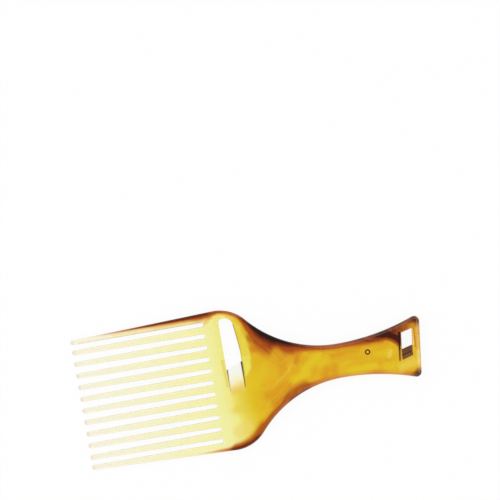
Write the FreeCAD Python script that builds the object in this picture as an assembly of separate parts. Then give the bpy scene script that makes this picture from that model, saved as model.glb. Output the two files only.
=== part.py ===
"""Afro pick: a wide-toothed comb with a waisted handle, moulded in one piece of translucent plastic.

The pick lies on its flat back. +X runs across the teeth, +Y from the handle to the tooth tips and
+Z up through the front face. The origin is under the middle of the bounding box. The moulding is
made whole, so that every edge rounding runs on, and is then cut at its working boundaries into
named pieces that meet face to face. All lengths are in millimetres.
"""
import FreeCAD, Part
import math
import os

# Teeth, spread evenly over the head between the two outermost ones
tooth_count = 12
tooth_length = 83.0
outer_tooth_width = 5.95
outer_tip_width = 2.9
gap_root_width = 2.4
gap_tip_width = 4.3
tip_thickness = 2.0
end_round_share = 0.48

# Head and shoulders
head_width = 87.3
head_thickness = 4.4
shoulder_depth = 7.6
shoulder_radius = 24.0
bar_height = 9.4

# Handle
neck_width = 21.4
neck_depth = 79.5
flare_length = 50.6
butt_width = 40.2
butt_slant_degrees = 7.1
butt_corner_radius = 3.2
grip_thickness = 7.0
thinning_lead = 19.5
thinning_end_depth = 15.0
thinning_ease_share = 0.42

# Edge roundings, each kept within a share of its wall
tooth_edge_radius = 0.9
grip_edge_radius = 2.6
back_edge_radius = 0.9
slot_edge_radius = 0.4
hang_edge_radius = 0.8
wall_share = 0.45
corner_share = 0.9

# Slot in the head, with a shallow ramp at its left end and a finger bevel on its handle side
slot_length = 32.0
slot_end_wall = 5.65
slot_left_slant = 4.0
slot_left_height = 10.2
slot_right_height = 8.0
slot_belly_length = 8.0
slot_belly_radius = 80.0
slot_small_corner = 2.5
slot_large_corner = 5.0
slot_corner_shares = (0.32, 0.65)
slot_ramp_length = 16.0
slot_ramp_lip = 0.5
slot_bevel_lead = 10.0
slot_bevel_reach = 3.8
slot_bevel_end_reach = 1.8
slot_bevel_depth = 0.9
bevel_past_share = 2.0

# Hang hole in the butt, with a steep ramp at its left end
hang_left = 0.2
hang_wall = 4.92
hang_length = 10.4
hang_height = 7.0
hang_lean_degrees = 14.5
hang_ramp_length = 6.2
hang_ramp_lip = 0.6

# Gate mark on the grip
gate_x = 2.4
gate_lead = 13.5
gate_ring_diameter = 3.7
gate_nub_diameter = 1.9
gate_groove_depth = 0.35

# Where the handle is divided: ahead of the neck and of the hang hole
grip_lead = 21.5
hang_end_lead = 7.4

# How far cutting shapes run past what they cut
overrun = 5.0

half_head = head_width / 2
half_neck = neck_width / 2

tooth_pitch = (head_width - 2 * outer_tooth_width - gap_root_width) / (tooth_count - 2)
tips_width = head_width - 2 * (outer_tooth_width - outer_tip_width)
tip_width = tooth_pitch - gap_tip_width
teeth_y = gap_root_width / 2

slot_right = half_head - slot_end_wall
slot_left = slot_right - slot_length
slot_end_x = slot_left + slot_left_slant
small_share, large_share = slot_corner_shares
slot_small_radius = min(slot_small_corner, small_share * slot_right_height)
slot_large_radius = min(slot_large_corner, large_share * slot_right_height)
belly_run = slot_right - slot_end_x - slot_belly_length
belly_turn = math.atan2(abs(slot_left_height - slot_right_height), belly_run)
belly_radius = min(slot_belly_radius, corner_share * slot_belly_length / math.tan(belly_turn / 2))

thinning_start_depth = neck_depth - thinning_lead
grip_start_depth = neck_depth - grip_lead
butt_slant = math.radians(butt_slant_degrees)
butt_depth = neck_depth + flare_length
hang_lean = math.radians(hang_lean_degrees)
hang_depth = butt_depth - hang_wall - hang_height * math.cos(hang_lean)
hang_end_depth = hang_depth - hang_end_lead
gate_depth = hang_end_depth - gate_lead

tooth_radius = min(tooth_edge_radius, wall_share * tip_thickness, wall_share * tip_width)
back_radius = min(back_edge_radius, wall_share * tip_thickness, wall_share * tip_width)
grip_radius = min(grip_edge_radius, wall_share * grip_thickness, corner_share * butt_corner_radius)


def vec(x, y, z=0.0):
    return FreeCAD.Vector(x, y, z)


def line(start, end):
    return Part.LineSegment(start, end).toShape()


def arc(start, through, end):
    return Part.Arc(start, through, end).toShape()


def arc_about(centre, start, end):
    """The shorter arc about a centre."""
    bisector = (start - centre).normalize() + (end - centre).normalize()
    return arc(start, centre + bisector.normalize() * (start - centre).Length, end)


def face_of(edges):
    return Part.Face(Part.Wire(Part.__sortEdges__(edges)))


def polygon_face(points):
    return Part.Face(Part.makePolygon(points + [points[0]]))


def slanted_prism(face, bottom, shift):
    """A face in the XY plane, raised to bottom and swept along shift."""
    base = face.copy()
    base.translate(vec(0, 0, bottom))
    return base.extrude(shift)


def through_prism(face):
    """A face in the XY plane as an upright solid through the whole thickness."""
    return slanted_prism(face, -overrun, vec(0, 0, grip_thickness + 2 * overrun))


def rounded_path(points, radii):
    """Edges along an open row of points, with a tangent arc of the given radius at each inner point."""
    edges = []
    start = points[0]
    for before, corner, after, radius in zip(points, points[1:], points[2:], radii):
        back = (before - corner).normalize()
        ahead = (after - corner).normalize()
        half_angle = back.getAngle(ahead) / 2
        reach = radius / math.tan(half_angle)
        arc_start = corner + back * reach
        arc_end = corner + ahead * reach
        bisector = (back + ahead).normalize()
        middle = corner + bisector * (radius / math.sin(half_angle) - radius)
        edges.append(line(start, arc_start))
        edges.append(arc(arc_start, middle, arc_end))
        start = arc_end
    edges.append(line(start, points[-1]))
    return edges


def mirrored(point):
    return vec(-point.x, point.y)


# Outline. While it is made, the gaps end at y = 0 and depths run from there to the butt.

def tooth_gaps():
    """Each gap's edges, from right to left: (right root, right tip, left root, left tip)."""
    gaps = []
    last = tooth_count - 2
    for index in range(last, -1, -1):
        middle = (index - last / 2) * tooth_pitch
        right_root = middle + gap_root_width / 2
        left_root = middle - gap_root_width / 2
        # The outermost teeth have straight inner flanks, so only their outer flanks taper.
        right_tip = right_root if index == last else middle + gap_tip_width / 2
        left_tip = left_root if index == 0 else middle - gap_tip_width / 2
        gaps.append((right_root, right_tip, left_root, left_tip))
    return gaps


def tooth_edges(flank_start):
    """The comb side of the outline, from the right shoulder's end over all teeth to the left one's."""
    points = [flank_start]
    radii = []
    tooth_right = tips_width / 2
    for right_root, right_tip, left_root, left_tip in tooth_gaps():
        tip_radius = end_round_share * (tooth_right - right_tip)
        root_radius = end_round_share * (right_root - left_root)
        points += [vec(tooth_right, tooth_length), vec(right_tip, tooth_length)]
        points += [vec(right_root, 0), vec(left_root, 0)]
        radii += [tip_radius, tip_radius, root_radius, root_radius]
        tooth_right = left_tip
    last_radius = end_round_share * (tooth_right + tips_width / 2)
    points += [vec(tooth_right, tooth_length), vec(-tips_width / 2, tooth_length)]
    points.append(mirrored(flank_start))
    return rounded_path(points, radii + [last_radius, last_radius])


def outline_face():
    shoulder = vec(half_head - shoulder_radius, -shoulder_depth)
    neck = vec(half_neck, -neck_depth)

    # The outer flank touches the shoulder's circle.
    to_tip = vec(tips_width / 2, tooth_length) - shoulder
    touch = math.atan2(to_tip.y, to_tip.x) - math.acos(shoulder_radius / to_tip.Length)
    flank_start = shoulder + vec(math.cos(touch), math.sin(touch)) * shoulder_radius

    # The waist's arc is upright at the neck and touches the shoulder's circle.
    rise = neck_depth - shoulder_depth
    inset = half_neck - half_head + shoulder_radius
    waist_radius = (inset ** 2 + rise ** 2 - shoulder_radius ** 2) / (2 * (shoulder_radius - inset))
    waist = neck + vec(waist_radius, 0)
    waist_start = shoulder + (waist - shoulder).normalize() * shoulder_radius

    # The flare's arc is upright at the neck and as wide as the butt at the butt's middle depth.
    drop = butt_depth - neck_depth
    spread = butt_width / 2 - half_neck
    flare_radius = (drop ** 2 + spread ** 2) / (2 * spread)
    flare = neck + vec(flare_radius, 0)
    end_drop = drop + butt_width * math.tan(butt_slant)
    end_spread = flare_radius - math.sqrt(flare_radius ** 2 - end_drop ** 2)
    flare_end = neck + vec(end_spread, -end_drop)

    side = [
        arc_about(shoulder, flank_start, waist_start),
        arc_about(waist, waist_start, neck),
        arc_about(flare, neck, flare_end),
    ]
    other_side = [edge.mirror(vec(0, 0), vec(1, 0)) for edge in side]
    end = [line(flare_end, mirrored(flare_end))]
    whole = face_of(tooth_edges(flank_start) + side + other_side + end)

    slant_drop = head_width * math.tan(butt_slant)
    kept = polygon_face([
        vec(-head_width, -butt_depth + slant_drop),
        vec(head_width, -butt_depth - slant_drop),
        vec(head_width, tooth_length + overrun),
        vec(-head_width, tooth_length + overrun),
    ])
    return whole.common(kept).Faces[0]


# Thickness, seen from the side

def taper_height(y):
    """Height of the front face over the head and teeth."""
    slope = (head_thickness - tip_thickness) / (thinning_end_depth + tooth_length)
    return tip_thickness + slope * (tooth_length - y)


def side_profile():
    butt_y = -(butt_depth + butt_width)
    tip_y = tooth_length + overrun
    ease = thinning_ease_share * (thinning_start_depth - thinning_end_depth)
    grip_end = vec(0, -thinning_start_depth, grip_thickness)
    taper_start = vec(0, -thinning_end_depth, head_thickness)
    thinning = Part.BezierCurve()
    thinning.setPoles([
        grip_end,
        grip_end + vec(0, ease),
        vec(0, taper_start.y - ease, taper_height(taper_start.y - ease)),
        taper_start,
    ])
    corners = [
        taper_start,
        vec(0, tip_y, taper_height(tip_y)),
        vec(0, tip_y),
        vec(0, butt_y),
        vec(0, butt_y, grip_thickness),
        grip_end,
    ]
    edges = [line(start, end) for start, end in zip(corners, corners[1:])]
    profile = face_of(edges + [thinning.toShape()])
    profile.translate(vec(-head_width, 0))
    return profile.extrude(vec(2 * head_width, 0))


# Edge roundings

def front_radius(y):
    """The front rounding grows from the teeth to the grip."""
    grown = (-y - shoulder_depth) / (thinning_start_depth - shoulder_depth)
    grown = min(max(grown, 0.0), 1.0)
    return tooth_radius + (grip_radius - tooth_radius) * grown


def is_wall(face):
    u_low, u_high, v_low, v_high = face.ParameterRange
    normal = face.normalAt((u_low + u_high) / 2, (v_low + v_high) / 2)
    return abs(normal.z) < abs(normal.x) + abs(normal.y)


def round_edges(blank):
    """Round the rim of the front and of the back, where they meet the upright walls."""
    rounded = []
    for number, edge in enumerate(blank.Edges, start=1):
        walls = [is_wall(face) for face in blank.ancestorsOfType(edge, Part.Face)]
        if sorted(walls) != [False, True]:
            continue
        first, last = edge.firstVertex().Point, edge.lastVertex().Point
        if max(first.z, last.z) == 0:
            rounded.append((number, back_radius, back_radius))
        else:
            rounded.append((number, front_radius(first.y), front_radius(last.y)))
    document = FreeCAD.newDocument()
    base = document.addObject("Part::Feature")
    base.Shape = blank
    rounding = document.addObject("Part::Fillet")
    rounding.Base = base
    rounding.Edges = rounded
    document.recompute()
    return rounding.Shape.Solids[0]


def rounded_blank():
    blank = outline_face().extrude(vec(0, 0, grip_thickness))
    corners = [
        edge for edge in blank.Edges
        if edge.CenterOfMass.y < -(neck_depth + butt_depth) / 2
        and edge.firstVertex().Z != edge.lastVertex().Z
    ]
    blank = blank.makeFillet(butt_corner_radius, corners)
    blank = blank.common(side_profile()).Solids[0]
    return round_edges(blank)


# Slot, hang hole and gate mark

def slot_wire(left, bottom_left, end_reach=0.0, handle_reach=0.0):
    """The slot's outline from its two left corners, widened towards its far end and the handle."""
    top = -bar_height
    bottom = top - slot_left_height - handle_reach
    right = slot_right + end_reach
    right_bottom = vec(right, top - slot_right_height - handle_reach)
    belly = vec(slot_end_x + slot_belly_length, bottom)
    start = vec(left, top)
    end = vec(bottom_left, bottom)
    path = rounded_path(
        [start, vec(right, top), right_bottom, belly, end],
        [slot_small_radius, slot_large_radius + end_reach, belly_radius],
    )
    return Part.Wire(path + [line(end, start)])


def slot_cutter():
    top = -bar_height
    bottom = top - slot_left_height
    outline = slot_wire(slot_left, slot_end_x)
    opening = through_prism(Part.Face(outline))

    # The ramp rises to the left from a thin lip at the opening's slanted end.
    rise = head_thickness - slot_ramp_lip
    past = 1 + overrun / rise
    swept = polygon_face([
        vec(slot_left, top),
        vec(slot_end_x, bottom),
        vec(slot_end_x + past * slot_ramp_length, bottom),
        vec(slot_left + past * slot_ramp_length, top),
    ])
    ramp = slanted_prism(swept, slot_ramp_lip, vec(-slot_ramp_length, 0, rise) * past)
    left_of_opening = polygon_face([
        vec(-half_head, top),
        vec(-half_head, bottom),
        vec(slot_end_x, bottom),
        vec(slot_end_x, top),
    ])
    ramp = ramp.common(through_prism(left_of_opening))

    # The finger bevel falls from the front face to the slot's handle side and far end.
    low = outline.copy()
    low.translate(vec(0, 0, head_thickness - slot_bevel_depth))
    end_reach = slot_bevel_end_reach * bevel_past_share
    handle_reach = slot_bevel_reach * bevel_past_share
    high = slot_wire(slot_left, slot_left - slot_bevel_lead, end_reach, handle_reach)
    high.translate(vec(0, 0, head_thickness + slot_bevel_depth * (bevel_past_share - 1)))
    bevel = Part.makeLoft([low, high], True, True)
    return opening.fuse([ramp, bevel]).removeSplitter()


def hang_cutter():
    along = vec(math.cos(butt_slant), -math.sin(butt_slant))
    down = vec(math.sin(hang_lean), -math.cos(hang_lean)) * hang_height
    corner = vec(hang_left, -hang_depth)

    def leaning_face(length):
        far = corner + along * length
        return polygon_face([corner, far, far + down, corner + down])

    # The steep ramp rises to the left from a thin lip at the opening's left end.
    rise = grip_thickness - hang_ramp_lip
    past = 1 + overrun / rise
    ramp_shift = (along * -hang_ramp_length + vec(0, 0, rise)) * past
    ramp = slanted_prism(leaning_face(hang_ramp_length * past), hang_ramp_lip, ramp_shift)
    return through_prism(leaning_face(hang_length)).fuse(ramp).removeSplitter()


def gate_cutter():
    floor = vec(gate_x, -gate_depth, grip_thickness - gate_groove_depth)
    ring = Part.makeCylinder(gate_ring_diameter / 2, overrun, floor)
    nub = Part.makeCylinder(gate_nub_diameter / 2, overrun, floor)
    return ring.cut(nub)


def middle_of(edge):
    return edge.valueAt((edge.FirstParameter + edge.LastParameter) / 2)


def soften_slot(moulding):
    """Round the slot's straight front edge beside the tooth bar."""
    front = vec(0, -bar_height, taper_height(-bar_height))
    straight = [
        edge for edge in moulding.Edges
        if all(abs(point.y - front.y) + abs(point.z - front.z) < Part.Precision.confusion()
               for point in (edge.firstVertex().Point, middle_of(edge), edge.lastVertex().Point))
    ]
    longest = max(straight, key=lambda edge: edge.Length)
    bevel_drop = front.z - head_thickness + slot_bevel_depth
    return moulding.makeFillet(min(slot_edge_radius, corner_share * bevel_drop), [longest])


def soften_hang_hole(moulding, cutter):
    """Round the front rim that the hang hole's cutter left."""
    walls = cutter.Shells[0]
    rim = [
        edge for edge in moulding.Edges
        if abs(middle_of(edge).z - grip_thickness) < Part.Precision.confusion()
        and walls.distToShape(Part.Vertex(middle_of(edge)))[0] < Part.Precision.confusion()
    ]
    return moulding.makeFillet(hang_edge_radius, rim)


def finished_moulding():
    hang_hole = hang_cutter()
    moulding = rounded_blank().cut([slot_cutter(), hang_hole, gate_cutter()])
    moulding = moulding.removeSplitter().Solids[0]
    return soften_hang_hole(soften_slot(moulding), hang_hole)


# Division into pieces

def region(points):
    return through_prism(polygon_face([vec(x, y) for x, y in points]))


def piece_regions():
    """Each piece of the body by name, as the upright region that it takes from the moulding."""
    half_arc_share = 1 - math.cos(math.pi / 4)
    left = -head_width
    right = head_width
    slot_top = -bar_height
    slot_bottom = slot_top - slot_left_height
    rail_top = slot_top - slot_small_radius * half_arc_share
    rail_bottom = slot_top - slot_right_height + slot_large_radius * half_arc_share
    butt_y = -(butt_depth + butt_width)
    return {
        "tooth_bar": region([
            (left, teeth_y), (left, slot_top), (slot_end_x, slot_top),
            (slot_end_x, rail_top), (right, rail_top), (right, teeth_y),
        ]),
        "ramp_web": region([
            (left, slot_top), (left, slot_bottom), (slot_end_x, slot_bottom), (slot_end_x, slot_top),
        ]),
        "slot_rail": region([
            (slot_end_x, rail_top), (slot_end_x, rail_bottom), (right, rail_bottom), (right, rail_top),
        ]),
        "palm_web": region([
            (left, slot_bottom), (left, -grip_start_depth), (right, -grip_start_depth),
            (right, rail_bottom), (slot_end_x, rail_bottom), (slot_end_x, slot_bottom),
        ]),
        "grip": region([
            (left, -grip_start_depth), (left, -hang_end_depth),
            (right, -hang_end_depth), (right, -grip_start_depth),
        ]),
        "hang_end": region([
            (left, -hang_end_depth), (left, butt_y), (right, butt_y), (right, -hang_end_depth),
        ]),
    }


def divided(moulding):
    """The moulding's pieces by name, the teeth numbered from left to right."""
    named = {name: moulding.common(space).Solids[0] for name, space in piece_regions().items()}
    teeth_end = tooth_length + overrun
    teeth_space = region([
        (-head_width, teeth_y), (head_width, teeth_y), (head_width, teeth_end), (-head_width, teeth_end),
    ])
    teeth = sorted(moulding.common(teeth_space).Solids, key=lambda tooth: tooth.CenterOfMass.x)
    for number, tooth in enumerate(teeth, start=1):
        named[f"tooth_{number:02d}"] = tooth
    return named


os.makedirs("parts", exist_ok=True)
pieces = divided(finished_moulding())
butt_end = pieces["hang_end"].optimalBoundingBox().YMin
to_middle = vec(0, -(tooth_length + butt_end) / 2)
for name, piece in pieces.items():
    piece.translate(to_middle)
    piece.exportStep(f"parts/{name}.step")
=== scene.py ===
"""Afro pick in translucent amber plastic, lying face up on a white studio floor.

The solids of the frame carry all shapes. This script gives them their plastic, which is painted by
place: cream tooth tips, a pale yellow head and a swirled amber handle. Its dark brown rims, the dark
lines along the slot, the hang hole and the teeth, and the dark corners of the butt are painted shade,
and a few light lines at the hang hole are painted highlights.
"""
import math
import bpy
from mathutils import Matrix, Vector
from mathutils.bvhtree import BVHTree


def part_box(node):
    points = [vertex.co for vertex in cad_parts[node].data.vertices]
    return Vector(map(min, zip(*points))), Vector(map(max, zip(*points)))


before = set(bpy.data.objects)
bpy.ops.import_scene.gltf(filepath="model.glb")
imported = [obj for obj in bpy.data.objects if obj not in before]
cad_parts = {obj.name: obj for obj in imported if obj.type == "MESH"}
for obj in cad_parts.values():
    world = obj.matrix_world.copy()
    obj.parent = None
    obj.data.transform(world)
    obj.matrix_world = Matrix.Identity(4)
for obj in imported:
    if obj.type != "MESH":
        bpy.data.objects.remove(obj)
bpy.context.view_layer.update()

MM = 0.001

# The photograph's frame: straight down, with the teeth to the left
picture_width = 310 * MM
picture_middle = Vector((76.95, -11.95, 0.0)) * MM
picture_turn = math.radians(9.92)
camera_height = 2.0
sensor_width = 36.0

# Places on the pick, in millimetres: x across it, y along it from the bottoms of the tooth gaps
gap_round = 1.2
gap_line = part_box("tooth_06")[0].y / MM - gap_round
tooth_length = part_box("tooth_06")[1].y / MM - gap_line
head_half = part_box("tooth_bar")[1].x / MM
tips_half = 40.6
shoulder_radius = 24.0
shoulder = (head_half - shoulder_radius, -7.6)
neck = (10.7, -79.5)
waist_radius = 70.9
flare_radius = 140.9
gate = (2.35, -97.2)


# Numbers and colours that vary over a surface

class Field:
    """An output of a shader tree that takes part in arithmetic."""

    def __init__(self, socket):
        self.socket = socket
        self.tree = socket.id_data

    def node(self, kind, inputs, **settings):
        made = self.tree.nodes.new(kind)
        for name, value in settings.items():
            setattr(made, name, value)
        for socket, value in inputs:
            feed(made.inputs[socket], value)
        return made

    def math(self, operation, *values):
        made = self.node("ShaderNodeMath", enumerate(values), operation=operation)
        return Field(made.outputs[0])

    def vector_math(self, operation, other):
        made = self.node("ShaderNodeVectorMath", ((0, self), (1, other)), operation=operation)
        number = operation in ("DOT_PRODUCT", "DISTANCE")
        return Field(made.outputs["Value" if number else "Vector"])

    def __add__(self, other):
        return self.math("ADD", self, other)

    def __sub__(self, other):
        return self.math("SUBTRACT", self, other)

    def __rsub__(self, other):
        return self.math("SUBTRACT", other, self)

    def __mul__(self, other):
        return self.math("MULTIPLY", self, other)

    def __truediv__(self, other):
        return self.math("DIVIDE", self, other)

    def size(self):
        return self.math("ABSOLUTE", self)

    def least(self, other):
        return self.math("MINIMUM", self, other)

    def most(self, other):
        return self.math("MAXIMUM", self, other)

    def rise(self, low, high, share=1.0):
        """0 up to low, the share from high on, and smooth between them."""
        inputs = (("Value", self), ("From Min", low), ("From Max", high), ("To Max", share))
        made = self.node("ShaderNodeMapRange", inputs, interpolation_type="SMOOTHSTEP")
        return Field(made.outputs["Result"])

    def fall(self, low, high, share=1.0):
        """The share up to low, 0 from high on, and smooth between them."""
        inputs = (("Value", self), ("From Min", low), ("From Max", high), ("To Min", share), ("To Max", 0.0))
        made = self.node("ShaderNodeMapRange", inputs, interpolation_type="SMOOTHSTEP")
        return Field(made.outputs["Result"])

    def between(self, low, high, soft):
        """1 from low to high, fading out over soft beyond both."""
        return self.rise(low - soft, low) * self.fall(high, high + soft)

    def blended(self, other, share):
        """This number, or the other one where the share is 1."""
        return self + (other - self) * share

    def along(self, first, last):
        return ((self - first) / (last - first)).most(0.0).least(1.0)

    def curve(self, points, most):
        """A smooth curve through given points, from (place, value) with values up to most."""
        first, last = points[0][0], points[-1][0]
        made = self.node("ShaderNodeFloatCurve", (("Value", self.along(first, last)),))
        drawn = made.mapping.curves[0].points
        for x, _ in points[1:-1]:
            drawn.new((x - first) / (last - first), 0.0)
        for dot, (x, value) in zip(drawn, points):
            dot.location = ((x - first) / (last - first), value / most)
            dot.handle_type = "AUTO_CLAMPED"
        made.mapping.update()
        return Field(made.outputs["Value"]) * most

    def ramp(self, stops):
        """A colour from (place, colour) stops in rising order."""
        first, last = stops[0][0], stops[-1][0]
        made = self.node("ShaderNodeValToRGB", (("Fac", self.along(first, last)),))
        elements = made.color_ramp.elements
        for x, _ in stops[1:-1]:
            elements.new((x - first) / (last - first))
        for element, (x, colour) in zip(elements, stops):
            element.position = (x - first) / (last - first)
            element.color = colour
        return Field(made.outputs["Color"])

    def covered(self, colour, mask, blend="MIX"):
        """This colour, covered by another where the mask is 1."""
        made = self.tree.nodes.new("ShaderNodeMix")
        made.data_type = "RGBA"
        made.blend_type = blend
        made.clamp_result = True
        sockets = {socket.identifier: socket for socket in made.inputs}
        feed(sockets["Factor_Float"], mask)
        feed(sockets["A_Color"], self)
        feed(sockets["B_Color"], colour)
        return Field(next(socket for socket in made.outputs if socket.identifier == "Result_Color"))


def feed(socket, value):
    """Links a field to a socket, or sets the socket to a plain value."""
    if isinstance(value, Field):
        socket.id_data.links.new(value.socket, socket)
    else:
        socket.default_value = value


def rgb(red, green, blue):
    """A colour in a picture's 0 to 255, as the shader's linear values."""
    def linear(value):
        share = value / 255
        return share / 12.92 if share <= 0.04045 else ((share + 0.055) / 1.055) ** 2.4
    return (linear(red), linear(green), linear(blue), 1.0)


# Where a point of the surface is on the pick

class Place:
    """A point on the pick in millimetres."""

    def __init__(self, flat, solid):
        split = flat.node("ShaderNodeSeparateXYZ", ((0, flat),))
        self.flat = flat
        self.solid = solid
        self.x = Field(split.outputs["X"])
        self.y = Field(split.outputs["Y"])

    def distance_from_sides(self):
        """How far a point is inside the outline's left or right side."""
        seam = 0.5
        across = self.x.size()
        folded = Field(across.node("ShaderNodeCombineXYZ", (("X", across), ("Y", self.y))).outputs[0])
        waist_centre = (neck[0] + waist_radius, neck[1])
        flare_centre = (neck[0] + flare_radius, neck[1])
        taper = (head_half - tips_half) / (tooth_length - shoulder[1])
        flank = head_half - (self.y - shoulder[1]) * taper - across
        round_shoulder = shoulder_radius - folded.vector_math("DISTANCE", (*shoulder, 0.0))
        waist = folded.vector_math("DISTANCE", (*waist_centre, 0.0)) - waist_radius
        flare = folded.vector_math("DISTANCE", (*flare_centre, 0.0)) - flare_radius
        slope = (Vector(waist_centre) - Vector(shoulder)).normalized()
        inside = (across - shoulder[0]) * slope.y - (self.y - shoulder[1]) * slope.x
        rim = flare.blended(waist, self.y.rise(neck[1] - seam, neck[1] + seam))
        rim = round_shoulder.blended(rim, inside.rise(-seam, seam))
        return rim.blended(flank, self.y.rise(shoulder[1] - seam, shoulder[1] + seam))

    def noise(self, size, detail, seed, output="Fac", stretch=(1.0, 1.0), turn=0.0, distortion=0.0):
        """Noise whose lumps are about size millimetres across, stretched along x and y and then turned."""
        scale = (size * stretch[0], size * stretch[1], size)
        shift = (-seed * scale[0], -2.0 * seed * scale[1], -3.0 * seed * scale[2])
        inputs = (
            ("Vector", self.solid),
            ("Location", shift),
            ("Rotation", (0.0, 0.0, turn)),
            ("Scale", scale),
        )
        mapped = Field(self.solid.node("ShaderNodeMapping", inputs, vector_type="TEXTURE").outputs[0])
        inputs = (("Vector", mapped), ("Scale", 1.0), ("Detail", detail), ("Distortion", distortion))
        return Field(self.solid.node("ShaderNodeTexNoise", inputs).outputs[output])

    def warped(self, size, reach, seed):
        """This place pushed about by noise, so that what is painted on it flows."""
        push = self.noise(size, 2.0, seed, "Color").vector_math("SUBTRACT", (0.5, 0.5, 0.5))
        push = push.vector_math("MULTIPLY", (2 * reach, 2 * reach, 0.0))
        return Place(self.flat.vector_math("ADD", push), self.solid)

    def stroke(self, start, end, radii, soft, share=1.0):
        """The share along a stroke from start to end, with a radius at each end and a soft edge."""
        reach = (end[0] - start[0], end[1] - start[1], 0.0)
        square = reach[0] ** 2 + reach[1] ** 2
        offset = self.flat.vector_math("SUBTRACT", (*start, 0.0))
        along = offset.vector_math("DOT_PRODUCT", (reach[0] / square, reach[1] / square, 0.0))
        along = along.most(0.0).least(1.0)
        scaled = along.node("ShaderNodeVectorMath", ((0, reach), ("Scale", along)), operation="SCALE")
        off = offset.vector_math("DISTANCE", Field(scaled.outputs[0]))
        past = off - along.math("MULTIPLY_ADD", along, radii[1] - radii[0], radii[0])
        return past.fall(-soft, soft, share)

    def panel(self, corner, along, down, soft):
        """1 inside a leaning four-sided panel, given by a corner and its two edges."""
        (ux, uy), (vx, vy) = along, down
        scale = 1 / (ux * vy - uy * vx)
        offset = self.flat.vector_math("SUBTRACT", (*corner, 0.0))
        across = offset.vector_math("DOT_PRODUCT", (vy * scale, -vx * scale, 0.0))
        below = offset.vector_math("DOT_PRODUCT", (-uy * scale, ux * scale, 0.0))
        soft_across = soft / math.hypot(ux, uy)
        soft_below = soft / math.hypot(vx, vy)
        return across.between(0.0, 1.0, soft_across) * below.between(0.0, 1.0, soft_below)

    def painted(self, colour, strokes):
        """A colour with strokes over it, each as shade, start, end, radii, soft edge and share."""
        for shade, start, end, radii, soft, share in strokes:
            colour = colour.covered(rgb(*shade), self.stroke(start, end, radii, soft, share))
        return colour


def place_on(tree):
    """The place of the shaded point, in a material's tree."""
    coordinates = tree.nodes.new("ShaderNodeTexCoord")
    metres = Field(coordinates.outputs["Object"])
    scaled = metres.node("ShaderNodeVectorMath", ((0, metres), ("Scale", 1 / MM)), operation="SCALE")
    solid = Field(scaled.outputs[0]).vector_math("SUBTRACT", (0.0, gap_line, 0.0))
    return Place(solid.vector_math("MULTIPLY", (1.0, 1.0, 0.0)), solid)


# Paint

def ground(place):
    """Cream at the tips, pale yellow at the head and amber from the shoulders on."""
    late = place.x.fall(-25.0, -18.0, 3.0)
    return (place.y + late).ramp((
        (-30.0, rgb(225, 179, 35)),
        (-23.4, rgb(225, 189, 35)),
        (-20.4, rgb(226, 195, 42)),
        (-17.4, rgb(228, 203, 60)),
        (-14.4, rgb(231, 211, 80)),
        (-11.4, rgb(235, 220, 103)),
        (-8.5, rgb(239, 233, 138)),
        (-2.0, rgb(242, 239, 165)),
        (8.0, rgb(244, 241, 176)),
        (35.0, rgb(247, 242, 196)),
        (60.0, rgb(249, 242, 210)),
        (80.0, rgb(250, 241, 218)),
    ))


def swirls(place, colour):
    """Clouds and wisps of lighter and darker amber in the handle, and faint flow lines in the head."""
    amber = place.y.fall(-34.0, -20.0)
    clouds = place.noise(11.0, 3.0, 1.0, stretch=(0.8, 1.3), distortion=1.2)
    wisps = place.noise(5.0, 4.0, 4.0, stretch=(0.7, 1.5), distortion=2.0)
    lines = place.noise(1.6, 2.0, 6.0, stretch=(0.7, 9.0))
    colour = colour.covered(rgb(217, 154, 33), clouds.fall(0.34, 0.5, 0.4) * amber)
    colour = colour.covered(rgb(228, 194, 40), clouds.rise(0.52, 0.68, 0.5) * amber)
    colour = colour.covered(rgb(212, 142, 32), wisps.fall(0.32, 0.46, 0.3) * amber)
    colour = colour.covered(rgb(231, 202, 56), wisps.rise(0.58, 0.7, 0.3) * amber)
    return colour.covered(rgb(232, 218, 118), lines.rise(0.5, 0.75, 0.2) * place.y.between(-16.0, 30.0, 14.0))


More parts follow.
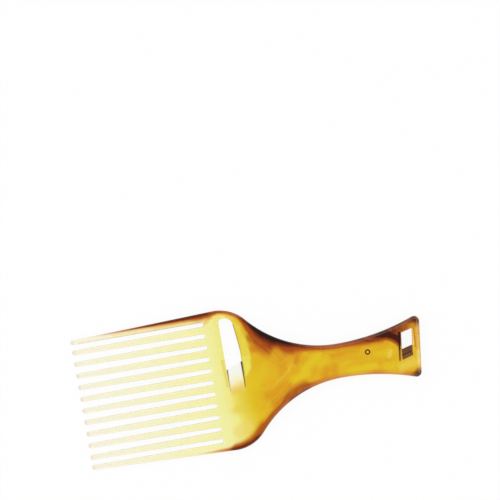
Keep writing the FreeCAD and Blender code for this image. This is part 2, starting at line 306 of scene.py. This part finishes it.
def clouds_in_handle(place, colour):
    """The larger light and dark clouds of the amber, each where it lies, and painted shade that widens
    the dark right rim at the shoulder.
    """
    orange = (211, 140, 32)
    deep = (218, 155, 33)
    light = (226, 197, 38)
    pale = (234, 207, 78)
    colour = place.warped(9.0, 1.3, 11.0).painted(colour, (
        (light, (-5, -25), (3, -32), (4.0, 3.6), 3.0, 0.6),
        (deep, (-14, -33), (-9, -44), (3.0, 3.0), 2.5, 0.8),
        (orange, (-20, -36), (-13, -50), (2.5, 2.4), 2.5, 0.9),
        (deep, (-2, -43), (9, -45), (2.2, 2.8), 2.5, 0.7),
        (light, (-7, -49), (-4.5, -58), (1.8, 2.5), 1.8, 0.95),
        (light, (-2, -57), (4.5, -65.5), (2.6, 2.6), 2.2, 0.95),
        (orange, (4.5, -52.5), (9.5, -55), (1.8, 2.0), 1.8, 0.85),
        # The next two strokes are painted shade that widens the dark right rim at the shoulder
        ((203, 122, 31), (17, -28.0), (15.4, -38), (2.6, 1.6), 1.8, 0.8),
        ((160, 70, 25), (23, -28.5), (18.6, -36.5), (3.2, 1.6), 1.8, 0.9),
        (deep, (-9, -69), (-4.5, -70.5), (2.2, 2.2), 2.0, 0.9),
        (deep, (-9, -74.5), (-3, -75.5), (2.4, 2.4), 2.2, 0.8),
        (light, (0, -67.5), (1.5, -71), (2.0, 2.0), 2.0, 0.6),
        (deep, (3.5, -76), (6, -92), (1.5, 1.8), 2.0, 0.8),
        (light, (-6.8, -85.5), (-7, -100.5), (1.8, 1.8), 1.6, 0.95),
        (light, (0, -102.5), (0, -109.5), (2.2, 2.2), 2.2, 0.7),
        (pale, (-2.6, -110.2), (0.4, -111.4), (1.2, 1.2), 1.4, 0.9),
        (light, (-9, -107.5), (-9, -115.5), (2.2, 2.2), 2.2, 0.7),
    ))
    return place.warped(4.0, 0.5, 13.0).painted(colour, (
        ((233, 192, 62), (-9.6, -35.5), (0.2, -48.2), (0.3, 0.5), 0.7, 0.7),
        ((232, 186, 60), (0.2, -48.2), (7.2, -51.8), (0.5, 0.2), 0.7, 0.6),
        ((231, 184, 58), (3.8, -41.8), (8.0, -48.8), (0.2, 0.4), 0.6, 0.5),
    ))


def head_marks(place, colour):
    """The paler left of the head, the bright yellow below the slot and round its end, and painted shade
    in thin dark lines along the slot's edges and the last tooth's inner edge.
    """
    colour = place.warped(8.0, 0.9, 17.0).painted(colour, (
        ((237, 216, 114), (-33, -11.5), (-30, -17), (4.6, 3.0), 2.0, 0.6),
        ((229, 206, 74), (-19.5, -9.5), (-18.5, -17), (1.6, 2.6), 2.2, 0.5),
    ))
    return place.painted(colour, (
        ((234, 225, 91), (2.2, -21.0), (6, -22.0), (1.2, 2.4), 1.3, 1.0),
        ((234, 225, 91), (6, -22.0), (11, -22.4), (2.4, 2.7), 1.3, 1.0),
        ((232, 221, 86), (11, -22.4), (15, -22.6), (2.7, 2.5), 1.3, 0.9),
        ((230, 211, 72), (15, -22.6), (22, -22.2), (2.6, 2.2), 1.0, 0.9),
        ((231, 210, 70), (22, -22.2), (31, -20.4), (2.2, 1.7), 1.0, 0.9),
        ((233, 211, 80), (31, -20.4), (37.6, -14.6), (1.7, 1.2), 0.9, 0.9),
        ((242, 229, 124), (38.9, -13.0), (39.2, -6.0), (1.0, 1.2), 1.0, 0.9),
        ((236, 192, 84), (36.0, 0.4), (40.0, -4.6), (0.8, 1.2), 1.3, 0.8),
        ((239, 204, 122), (40.4, 1.0), (39.8, 30.0), (1.6, 1.4), 1.3, 0.8),
        ((243, 216, 146), (39.8, 30.0), (39.4, 56.0), (1.4, 0.6), 1.3, 0.6),
        ((230, 208, 92), (-4, -8.4), (12, -7.8), (0.5, 0.7), 0.8, 0.95),
        # Painted shade: thin dark lines where the slot's lower and upper walls are seen edge on
        ((196, 158, 58), (2, -20.1), (18, -19.8), (0.2, 0.25), 0.4, 0.8),
        ((164, 116, 44), (18, -19.8), (33, -18.2), (0.25, 0.35), 0.4, 0.95),
        ((170, 124, 48), (33, -18.2), (37, -15.4), (0.35, 0.25), 0.4, 0.95),
        ((222, 210, 150), (4, -9.1), (37, -9.1), (0.1, 0.1), 0.3, 0.7),
        # Painted shade: a thin dark line along the inner edge of the last tooth
        ((150, 108, 80), (37.9, 1.0), (38.0, 44.0), (0.2, 0.2), 0.45, 0.8),
        ((168, 134, 108), (38.0, 44.0), (38.2, 78.0), (0.2, 0.1), 0.45, 0.7),
    ))


def slot_ramp(place, colour):
    """The slot's ramp, amber where it starts and white where it ends, between thin lines of painted shade
    where its walls are seen edge on.
    """
    slot_middle = -13.9
    lean = 0.3
    slanted = place.x + (place.y - slot_middle) * lean
    ramp_colour = slanted.ramp((
        (-10.0, rgb(231, 203, 70)),
        (-8.0, rgb(232, 202, 84)),
        (-5.0, rgb(239, 215, 132)),
        (-2.0, rgb(249, 238, 192)),
        (2.0, rgb(255, 246, 226)),
        (6.0, rgb(255, 250, 240)),
    ))
    inside = place.y.between(-19.3, -9.6, 0.2) * place.x.between(-7.6, 12.0, 3.0)
    colour = colour.covered(ramp_colour, inside)
    # Painted shade along the slot's walls, seen edge on through the plastic
    wall = (78, 44, 12)
    return place.painted(colour, (
        (wall, (-7.2, -9.6), (6.0, -9.8), (0.05, 0.35), 0.3, 1.0),
        (wall, (-6.2, -19.2), (9.8, -19.3), (0.2, 0.55), 0.3, 1.0),
    ))


def streaks(place, colour):
    """Streaks that run from the grip into both shoulders."""
    width = 1.3
    drawn_out = (9.0, 0.9)
    right = place.noise(width, 2.0, 31.0, stretch=drawn_out, turn=math.radians(40))
    reach = place.stroke((10.0, -42.0), (28.0, -28.0), (5.0, 4.0), 4.0)
    colour = colour.covered(rgb(142, 56, 21), right.rise(0.5, 0.66, 0.4) * reach)
    colour = colour.covered(rgb(212, 136, 34), right.fall(0.36, 0.48, 0.5) * reach)
    left = place.noise(width, 2.0, 37.0, stretch=drawn_out, turn=math.radians(-52))
    reach = place.stroke((-22.0, -33.0), (-11.0, -50.0), (5.0, 4.0), 4.0)
    colour = colour.covered(rgb(190, 108, 28), left.rise(0.52, 0.68, 0.4) * reach)
    return colour.covered(rgb(228, 176, 38), left.fall(0.34, 0.46, 0.3) * reach)


def rims(place, rim, colour):
    """Painted shade along the sides, where refraction and inner mirroring darken the rounded edges:
    brown, and black along the right shoulder and beside the hang hole.

    Each curve gives a rim's width along the pick. The colours lie over each other from the widest,
    orange, over brown and red to black at the very edge.
    """
    widest = 12.0
    orange = rgb(209, 132, 33)
    red_edge_shade = rgb(112, 42, 20)
    black_edge_shade = rgb(42, 25, 22)
    left_brown = place.y.curve((
        (-131.0, 1.6), (-121.0, 1.5), (-112.0, 0.9), (-101.0, 1.3), (-90.0, 0.9), (-77.0, 1.2), (-61.0, 1.8),
        (-54.0, 3.9), (-48.0, 4.1), (-43.0, 3.6), (-38.0, 2.2), (-29.0, 2.2), (-23.0, 3.2), (-19.6, 3.0),
        (-12.0, 2.7), (-7.6, 2.4), (-3.0, 1.2), (8.0, 0.6), (30.0, 0.0),
    ), widest)
    right_brown = place.y.curve((
        (-131.0, 1.5), (-118.0, 4.0), (-111.0, 4.5), (-101.0, 3.8), (-94.0, 3.1), (-87.0, 2.4), (-70.0, 2.2),
        (-61.0, 2.6), (-54.0, 3.8), (-48.0, 5.5), (-43.0, 4.6), (-38.0, 7.4), (-33.0, 8.4), (-28.5, 6.4),
        (-25.0, 3.4), (-19.6, 1.3), (-12.0, 1.2), (-7.6, 1.7), (0.0, 2.5), (10.0, 1.8), (20.0, 1.5),
        (40.0, 0.8), (60.0, 0.45), (76.0, 0.0),
    ), widest)
    left_dark = place.y.curve((
        (-131.0, 1.0), (-122.0, 0.1), (-62.0, 0.0), (-54.0, 0.7), (-48.0, 0.7), (-42.0, 0.15), (-25.0, 0.2),
        (-19.6, 0.9), (-12.0, 0.9), (-7.0, 0.6), (-1.0, 0.1), (4.0, 0.0),
    ), widest)
    right_dark = place.y.curve((
        (-131.0, 0.5), (-117.0, 0.9), (-111.0, 3.0), (-106.0, 2.8), (-101.0, 2.3), (-94.0, 0.9), (-87.0, 0.5),
        (-70.0, 0.35), (-61.0, 0.6), (-54.0, 1.2), (-48.0, 1.9), (-43.0, 2.5), (-38.0, 3.3), (-33.0, 2.9),
        (-28.5, 1.6), (-25.0, 0.6), (-19.6, 0.2), (-7.6, 0.2), (0.0, 0.8), (20.0, 0.5), (30.0, 0.4),
        (50.0, 0.15), (66.0, 0.0),
    ), widest)
    left = place.x.fall(-2.0, 2.0)
    brown = right_brown.blended(left_brown, left)
    dark = right_dark.blended(left_dark, left)
    red = dark * 1.4 + 0.8
    ragged = rim + (place.noise(5.0, 2.0, 7.0) - 0.5) * (brown * 0.3)
    brown_shade = left.ramp(((0.0, rgb(169, 78, 27)), (1.0, rgb(172, 90, 27))))
    full = brown.rise(0.0, 0.8).blended(brown.rise(0.4, 1.8), left)
    halo = ragged.fall(brown * 1.2, brown * 1.9 + 1.0)
    # Orange, brown, red and black layers: painted shade of the rounded edges, darkest at the very edge
    colour = colour.covered(orange, halo * brown.rise(0.1, 1.0, 0.85))
    colour = colour.covered(brown_shade, ragged.fall(brown * 0.9, brown * 1.6 + 0.2) * full)
    colour = streaks(place, colour)
    colour = colour.covered(red_edge_shade, ragged.fall(red * 0.7, red * 1.35) * dark.rise(0.0, 0.5))
    black = ragged.fall(dark * 0.7, dark * 1.3 + 0.1) * dark.rise(0.2, 0.8)
    return colour.covered(black_edge_shade, black * place.x.rise(-2.0, 2.0))


def butt_marks(place, colour):
    """Painted shade and light at the butt: the dark sweep above the hang hole, the hole's dark top edge,
    its brown ribbed ramp, the darker bottom edge and the dark corners are painted shade, and thin light
    lines at the hole's edges are painted highlights.
    """
    black = (68, 27, 20)
    halo = (160, 74, 25)
    colour = place.painted(colour, (
        ((231, 203, 74), (-10.5, -117), (-8.6, -124.4), (2.4, 2.8), 2.0, 0.9),
        ((236, 214, 116), (-9.5, -127.4), (-2.2, -128.3), (0.9, 0.8), 1.2, 0.9),
        # Painted shade: the dark sweep along the right edge above the hang hole, with its brown halo
        (halo, (13.0, -100.4), (12.4, -108.4), (4.0, 3.7), 1.0, 0.9),
        (halo, (12.4, -108.4), (10.2, -112.9), (3.7, 3.4), 1.0, 0.9),
        (halo, (10.2, -112.9), (8.4, -115.7), (3.4, 3.5), 1.0, 0.9),
        (halo, (8.4, -115.7), (4.2, -117.2), (3.5, 1.9), 1.0, 0.9),
        (black, (12.6, -100.4), (12.0, -108.4), (2.1, 2.9), 0.9, 0.95),
        (black, (12.4, -108.4), (10.2, -112.9), (2.6, 2.0), 0.8, 0.95),
        (black, (10.2, -112.9), (8.4, -115.7), (2.0, 1.7), 0.8, 0.95),
        (black, (8.4, -115.7), (5.2, -117.0), (1.7, 0.8), 0.8, 0.95),
        # Painted shade: the dark right edge running on below the hole, fading from brown to orange
        ((104, 44, 24), (12.0, -115.0), (12.4, -116.4), (1.0, 1.5), 1.0, 0.95),
        ((142, 68, 27), (12.6, -118.4), (13.4, -122.0), (1.9, 1.9), 1.2, 0.95),
        ((166, 96, 32), (13.6, -122.2), (14.0, -124.4), (1.6, 1.6), 1.2, 0.9),
        ((200, 130, 44), (13.6, -126.0), (13.6, -129.6), (1.2, 1.2), 1.2, 0.9),
        # Painted shade: the dark line where the hang hole's top wall is seen through the plastic
        ((96, 44, 22), (-6.2, -116.2), (1.0, -117.1), (0.45, 0.6), 0.35, 0.95),
        ((48, 24, 20), (1.0, -117.1), (10.4, -118.6), (0.5, 0.9), 0.4, 1.0),
        # Painted highlights: light lines along the rounded edge above the hole and the ramp's left edge
        ((240, 190, 105), (-6.0, -117.3), (-1.6, -117.8), (0.1, 0.1), 0.35, 0.7),
        ((240, 198, 115), (-6.5, -117.9), (-4.6, -124.6), (0.1, 0.1), 0.4, 0.7),
        ((228, 172, 74), (0.5, -128.2), (9.0, -129.4), (1.0, 1.0), 0.8, 0.9),
        ((204, 138, 52), (8.0, -129.9), (14.0, -130.7), (0.7, 0.8), 0.8, 0.85),
        ((186, 114, 36), (0.4, -127.2), (12.0, -127.8), (0.3, 0.4), 0.4, 0.95),
        # Painted light: the cream line where the hole's lower wall is lit
        ((248, 218, 186), (2.0, -125.9), (11.5, -126.9), (0.35, 0.4), 0.3, 1.0),
        # Painted shade: a darker line along the bottom edge and the dark corners of the butt
        ((178, 112, 48), (-14.0, -128.1), (16.0, -131.9), (0.3, 0.3), 0.6, 0.8),
        ((112, 50, 27), (-17.4, -121.6), (-15.0, -127.0), (1.0, 2.1), 1.7, 0.95),
        ((50, 24, 20), (-18.4, -122.8), (-16.4, -127.0), (0.7, 1.3), 1.0, 0.95),
        ((116, 54, 28), (17.4, -125.4), (15.2, -130.6), (1.0, 1.3), 1.5, 0.95),
        ((54, 26, 22), (18.2, -127.0), (16.2, -131.0), (0.6, 1.0), 0.9, 0.95),
    ))
    # The hang hole's ramp is painted shade: brown, near black at its end wall, with lighter stripes for the
    # light on its ribs
    lean = 0.28
    rib_radians_per_mm = 9.0
    across = place.flat.vector_math("DOT_PRODUCT", (1.0, lean, 0.0))
    ribs = across.math("SINE", across * rib_radians_per_mm)
    ramp_colour = across.ramp((
        (-39.4, rgb(44, 14, 22)),
        (-37.6, rgb(44, 14, 22)),
        (-37.2, rgb(106, 66, 46)),
        (-33.0, rgb(100, 66, 48)),
    ))
    ramp_colour = ramp_colour.covered(rgb(128, 82, 60), ribs.rise(0.0, 1.0, 0.5))
    return colour.covered(ramp_colour, place.panel((-6.2, -117.8), (6.3, -0.5), (1.9, -6.9), 0.15))


def gate_mark(place, colour):
    """The small ring groove that the moulding's gate leaves on the front: its dark ring is painted shade
    of the groove's walls, with a bright middle.
    """
    dark = rgb(52, 5, 2)
    bright = rgb(252, 206, 214)
    off = place.flat.vector_math("DISTANCE", (*gate, 0.0))
    height = place.solid.vector_math("DOT_PRODUCT", (0.0, 0.0, 1.0))
    front = height.rise(3.0, 4.0)
    # Painted shade in the gate's groove
    colour = colour.covered(dark, off.between(0.95, 1.6, 0.3) * front)
    return colour.covered(bright, off.fall(0.3, 0.9, 0.8) * front)


def tooth_marks(place, tilt, colour):
    """Painted shade on the sides and ends of the teeth, which makes their rounded edges greyer."""
    side_shade = rgb(196, 170, 126)
    end_shade = rgb(214, 198, 174)
    # Painted shade where the surface tilts away from upright on the teeth's sides, and at their ends
    sides = tilt.fall(0.3, 0.95, 0.8) * place.y.rise(-2.6, -1.2)
    colour = colour.covered(side_shade, sides)
    return colour.covered(end_shade, place.y.rise(80.6, 82.8, 0.6))


def plastic():
    """Glossy translucent plastic. Light passes the paint twice, once on each face."""
    lost_to_mirroring = 1.09
    smoothest = 0.04
    unevenness = 0.06
    material = bpy.data.materials.new("amber_plastic_painted")
    material.use_nodes = True
    tree = material.node_tree
    shader = tree.nodes["Principled BSDF"]
    place = place_on(tree)
    rim = place.distance_from_sides()
    geometry = tree.nodes.new("ShaderNodeNewGeometry")
    normal = Field(geometry.outputs["Normal"])
    tilt = normal.vector_math("DOT_PRODUCT", (0.0, 0.0, 1.0)).size()
    colour = ground(place)
    colour = swirls(place, colour)
    colour = clouds_in_handle(place, colour)
    colour = head_marks(place, colour)
    colour = tooth_marks(place, tilt, colour)
    colour = rims(place, rim, colour)
    colour = slot_ramp(place, colour)
    colour = butt_marks(place, colour)
    colour = gate_mark(place, colour)
    # Both faces of the plastic mirror some light away, and the paint makes up for that
    made_up = (lost_to_mirroring, lost_to_mirroring, lost_to_mirroring, 1.0)
    colour = colour.covered(made_up, 1.0, "MULTIPLY")
    feed(shader.inputs["Base Color"], colour)
    polish = place.noise(7.0, 3.0, 21.0)
    feed(shader.inputs["Roughness"], polish * unevenness + smoothest)
    ripple = place.noise(2.5, 2.0, 23.0, stretch=(1.0, 2.0))
    inputs = (("Height", ripple), ("Strength", 0.05), ("Distance", 0.2 * MM))
    bump = ripple.node("ShaderNodeBump", inputs)
    feed(shader.inputs["Normal"], Field(bump.outputs[0]))
    shader.inputs["IOR"].default_value = 1.5
    shader.inputs["Transmission Weight"].default_value = 0.96
    return material


def seam():
    """Cut faces, where two nodes of the one moulding meet, are not there to be seen."""
    material = bpy.data.materials.new("seam")
    material.use_nodes = True
    material.node_tree.nodes["Principled BSDF"].inputs["Alpha"].default_value = 0.0
    return material


def faces_that_meet(node, trees):
    """Faces of a node that lie on a face of another one."""
    touching = 2e-6
    upright = 0.01
    opposed = -0.99
    for face in node.data.polygons:
        if abs(face.normal.z) > upright:
            continue
        for name, tree in trees.items():
            if name == node.name:
                continue
            found = tree.find_nearest(face.center, touching)
            if found[0] is not None and found[1].dot(face.normal) < opposed:
                yield face
                break


def dress():
    """The plastic on every node, and the seam on the faces where nodes meet."""
    painted = plastic()
    cut = seam()
    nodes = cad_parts
    trees = {}
    for name, node in nodes.items():
        corners = [vertex.co for vertex in node.data.vertices]
        trees[name] = BVHTree.FromPolygons(corners, [face.vertices for face in node.data.polygons])
    for node in nodes.values():
        node.data.materials.clear()
        node.data.materials.append(painted)
        node.data.materials.append(cut)
        for face in faces_that_meet(node, trees):
            face.material_index = 1


# Stage

def make_floor():
    """A plain floor just under the pick's flat back."""
    half = 3.0
    drop = 0.05 * MM
    mesh = bpy.data.meshes.new("floor")
    corners = [(-half, -half, -drop), (half, -half, -drop), (half, half, -drop), (-half, half, -drop)]
    mesh.from_pydata(corners, [], [(0, 1, 2, 3)])
    floor = bpy.data.objects.new("floor", mesh)
    bpy.context.scene.collection.objects.link(floor)
    floor.data.materials.append(floor_material())


def floor_material():
    """White where it is seen or mirrored, with the soft shadow of what lies on it."""
    shadow_share = 0.08
    material = bpy.data.materials.new("floor")
    material.use_nodes = True
    tree = material.node_tree
    tree.nodes.clear()
    output = tree.nodes.new("ShaderNodeOutputMaterial")
    path = tree.nodes.new("ShaderNodeLightPath")
    white = tree.nodes.new("ShaderNodeEmission")
    matte = tree.nodes.new("ShaderNodeBsdfDiffuse")
    matte.inputs["Color"].default_value = (0.95, 0.95, 0.95, 1.0)
    bent = Field(path.outputs["Is Transmission Ray"]).most(Field(path.outputs["Is Glossy Ray"]))
    seen = bent.most(Field(path.outputs["Is Camera Ray"]) * (1 - shadow_share))
    mix = tree.nodes.new("ShaderNodeMixShader")
    feed(mix.inputs["Fac"], seen)
    tree.links.new(matte.outputs[0], mix.inputs[1])
    tree.links.new(white.outputs[0], mix.inputs[2])
    tree.links.new(mix.outputs[0], output.inputs["Surface"])
    return material


def make_world():
    """A studio that is white to the camera, with a ring of light halfway up and little light overhead."""
    walls = 0.6
    ring = 1.25
    overhead = 0.06
    world = bpy.data.worlds.new("studio")
    world.use_nodes = True
    tree = world.node_tree
    background = tree.nodes["Background"]
    path = tree.nodes.new("ShaderNodeLightPath")
    coordinates = tree.nodes.new("ShaderNodeTexCoord")
    direction = Field(coordinates.outputs["Generated"])
    height = direction.vector_math("DOT_PRODUCT", (0.0, 0.0, 1.0))
    level = height.curve((
        (0.0, walls), (0.35, walls), (0.55, ring), (0.8, ring), (0.93, overhead), (1.0, overhead),
    ), 2 * ring)
    feed(background.inputs["Strength"], level.blended(1.0, Field(path.outputs["Is Camera Ray"])))
    background.inputs["Color"].default_value = (1.0, 1.0, 1.0, 1.0)
    bpy.context.scene.world = world


def make_lamp(name, place, size, power):
    """A round soft lamp that faces the pick."""
    lamp = bpy.data.lights.new(name, "AREA")
    lamp.shape = "DISK"
    lamp.size = size
    lamp.energy = power
    holder = bpy.data.objects.new(name, lamp)
    holder.location = place
    holder.rotation_mode = "QUATERNION"
    holder.rotation_quaternion = (-Vector(place)).to_track_quat("-Z", "Y")
    bpy.context.scene.collection.objects.link(holder)


def make_camera():
    """Straight above, turned so that the teeth point to the picture's left."""
    right = Vector((-math.sin(picture_turn), -math.cos(picture_turn), 0))
    up = Vector((math.cos(picture_turn), -math.sin(picture_turn), 0))
    lens = bpy.data.cameras.new("camera")
    lens.sensor_width = sensor_width
    lens.lens = sensor_width * camera_height / picture_width
    camera = bpy.data.objects.new("camera", lens)
    turned = Matrix((right, up, right.cross(up))).transposed()
    raised = Matrix.Translation(picture_middle + Vector((0, 0, camera_height)))
    camera.matrix_world = raised @ turned.to_4x4()
    bpy.context.scene.collection.objects.link(camera)
    bpy.context.scene.camera = camera


dress()
make_floor()
make_world()
make_lamp("key", (0.5, 1.5, 1.6), 1.6, 8.0)
make_lamp("fill", (-0.4, -1.5, 1.6), 1.6, 6.0)
make_camera()
bpy.context.scene.view_settings.view_transform = "Standard"

# Light passes from wall to wall inside the clear teeth many times before it leaves them
bounces = 48
bpy.context.scene.cycles.max_bounces = bounces
bpy.context.scene.cycles.glossy_bounces = bounces
bpy.context.scene.cycles.transmission_bounces = bounces
